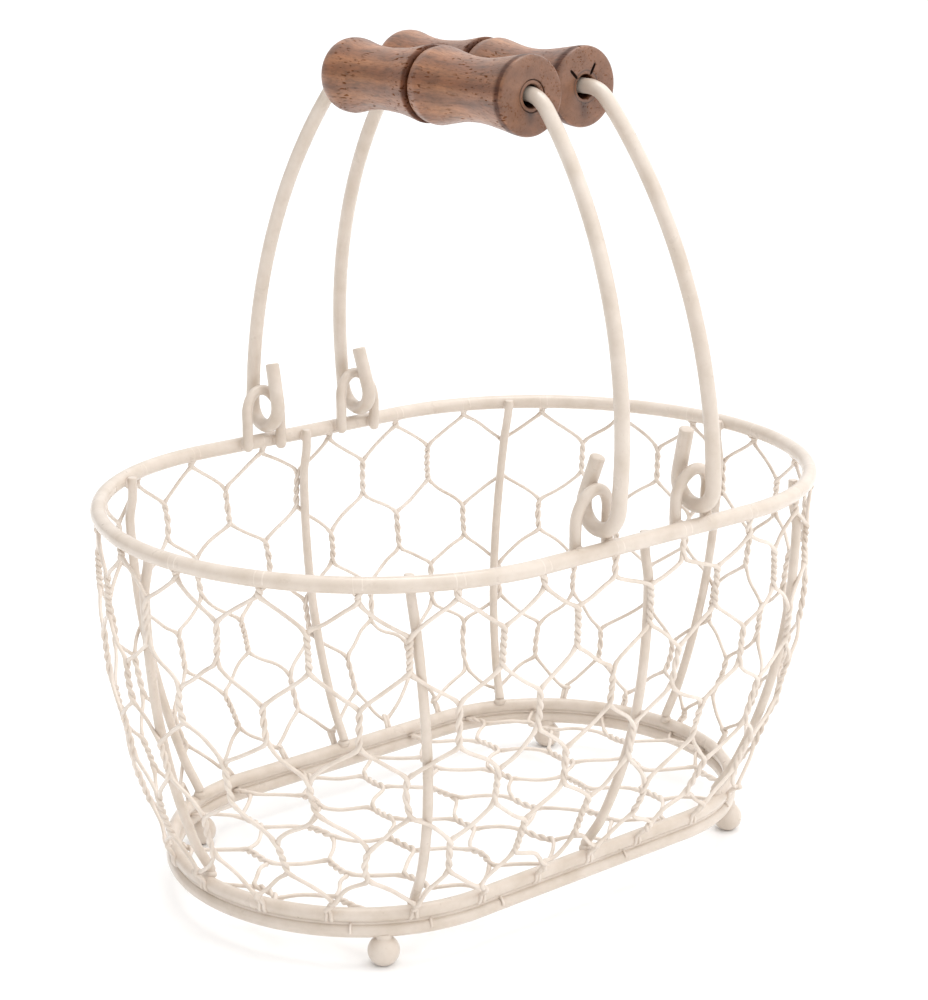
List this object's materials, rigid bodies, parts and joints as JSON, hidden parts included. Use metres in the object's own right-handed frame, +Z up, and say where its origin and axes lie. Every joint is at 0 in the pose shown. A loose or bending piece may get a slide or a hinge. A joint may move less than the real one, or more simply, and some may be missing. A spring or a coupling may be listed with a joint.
{
  "type": "wire basket",
  "caption": "Oval wire basket with hexagonal netting on the wall and floor, ball feet, and swinging wire bails that meet over the middle with turned wooden grips.",
  "frame": {"origin": "on the surface that the feet stand on, at the middle of the oval", "axes": "+Z up, +X along the oval's length, +Y along its width (the bails hinge about lines parallel to Y)"},
  "size_m": [0.2752, 0.2054, 0.2957],
  "materials": {
    "cream_powder_coat": "satin powder coat",
    "netting_coat": "satin powder coat over twisted wire",
    "turned_wood": "oiled satin"
  },
  "bodies": {
    "basket": {"rim_ring": "cream_powder_coat", "base_ring_upper": "cream_powder_coat", "base_ring_lower": "cream_powder_coat", "rib_front_right": "cream_powder_coat", "rib_right_tip": "cream_powder_coat", "rib_rear_right": "cream_powder_coat", "rib_rear_middle": "cream_powder_coat", "rib_rear_left": "cream_powder_coat", "rib_left_tip": "cream_powder_coat", "rib_front_left": "cream_powder_coat", "rib_front_middle": "cream_powder_coat", "foot_front_right": "cream_powder_coat", "foot_rear_right": "cream_powder_coat", "foot_rear_left": "cream_powder_coat", "foot_front_left": "cream_powder_coat", "lug_a_front": "cream_powder_coat", "lug_a_rear": "cream_powder_coat", "lug_b_front": "cream_powder_coat", "lug_b_rear": "cream_powder_coat", "wall_netting": "netting_coat", "floor_netting": "netting_coat"},
    "bail_a": {"bail_wire_a": "cream_powder_coat"},
    "bail_b": {"bail_wire_b": "cream_powder_coat"},
    "grip_roller_a": {"grip_a": "turned_wood"},
    "grip_roller_b": {"grip_b": "turned_wood"}
  },
  "joints": [
    {"name": "bail_a_swing", "type": "hinge", "parent": "basket", "child": "bail_a", "pos_m": [-0.021, 0, 0.1463], "axis": [0, -1, 0], "range_deg": [0, 97]},
    {"name": "bail_b_swing", "type": "hinge", "parent": "basket", "child": "bail_b", "pos_m": [0.0237, 0, 0.1463], "axis": [0, 1, 0], "range_deg": [0, 97]},
    {"name": "grip_a_roll", "type": "hinge", "parent": "bail_a", "child": "grip_roller_a", "pos_m": [-0.0133, 0, 0.2813], "axis": [0, 1, 0], "continuous": true},
    {"name": "grip_b_roll", "type": "hinge", "parent": "bail_b", "child": "grip_roller_b", "pos_m": [0.0138, 0, 0.2823], "axis": [0, 1, 0], "continuous": true}
  ]
}
